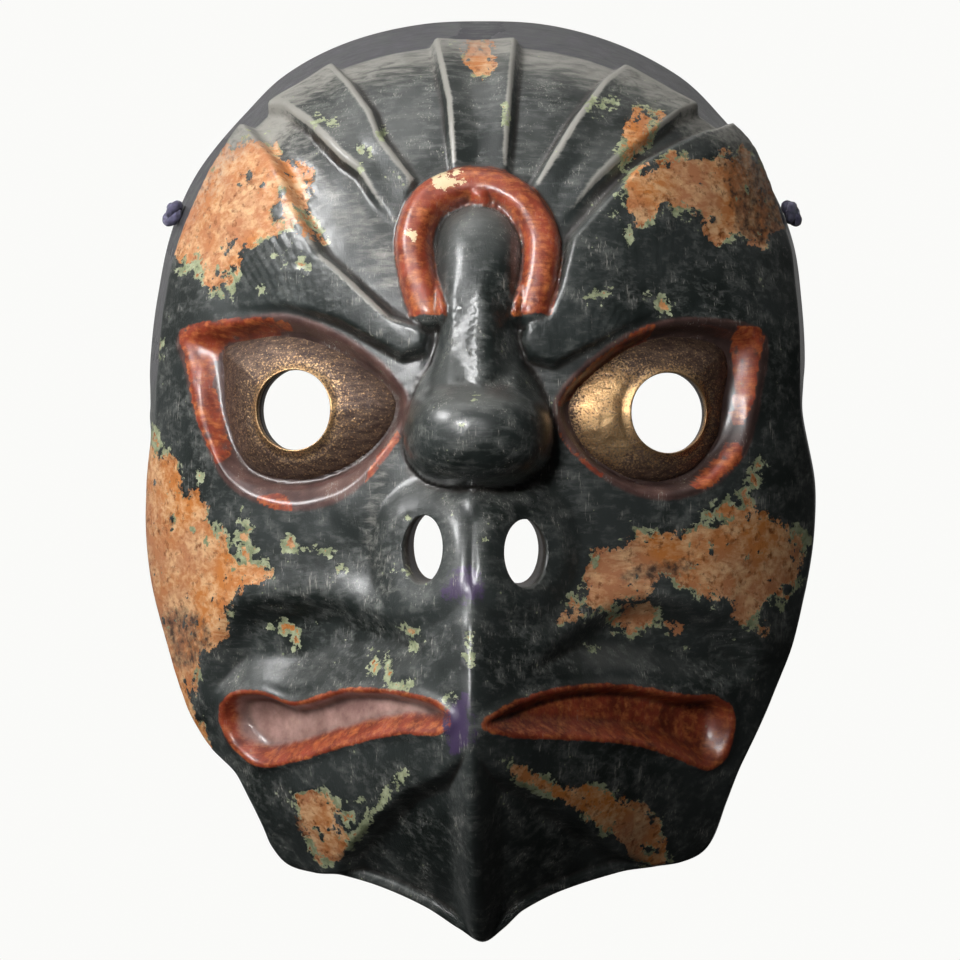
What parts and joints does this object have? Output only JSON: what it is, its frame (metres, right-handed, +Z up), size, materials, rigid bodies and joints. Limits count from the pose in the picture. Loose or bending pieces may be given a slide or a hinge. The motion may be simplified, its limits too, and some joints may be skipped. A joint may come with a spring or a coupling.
{
  "type": "carved wooden demon mask",
  "caption": "Carved, painted wooden beaked demon mask with gilt metal eye domes, open pupils and nostrils, and a knotted cord to hang it by.",
  "frame": {"origin": "the hang point: on the wall plane that the rear rim lies on, at the top of the nail under the cord", "axes": "+Z up, +X to the viewer's right, -Y out of the face towards the viewer; +Y into the wall"},
  "size_m": [0.1864, 0.0947, 0.252],
  "materials": {
    "painted_wood": "aged layered paint, dark green over pale green and ochre",
    "gilt_metal": "worn gilt copper sheet",
    "braided_cord": "braided purple cotton"
  },
  "bodies": {
    "root": {"mask_shell": "painted_wood", "eye_dome_left": "gilt_metal", "eye_dome_right": "gilt_metal", "hanging_cord": "braided_cord", "cord_knot_left": "braided_cord", "cord_knot_right": "braided_cord"}
  },
  "joints": []
}
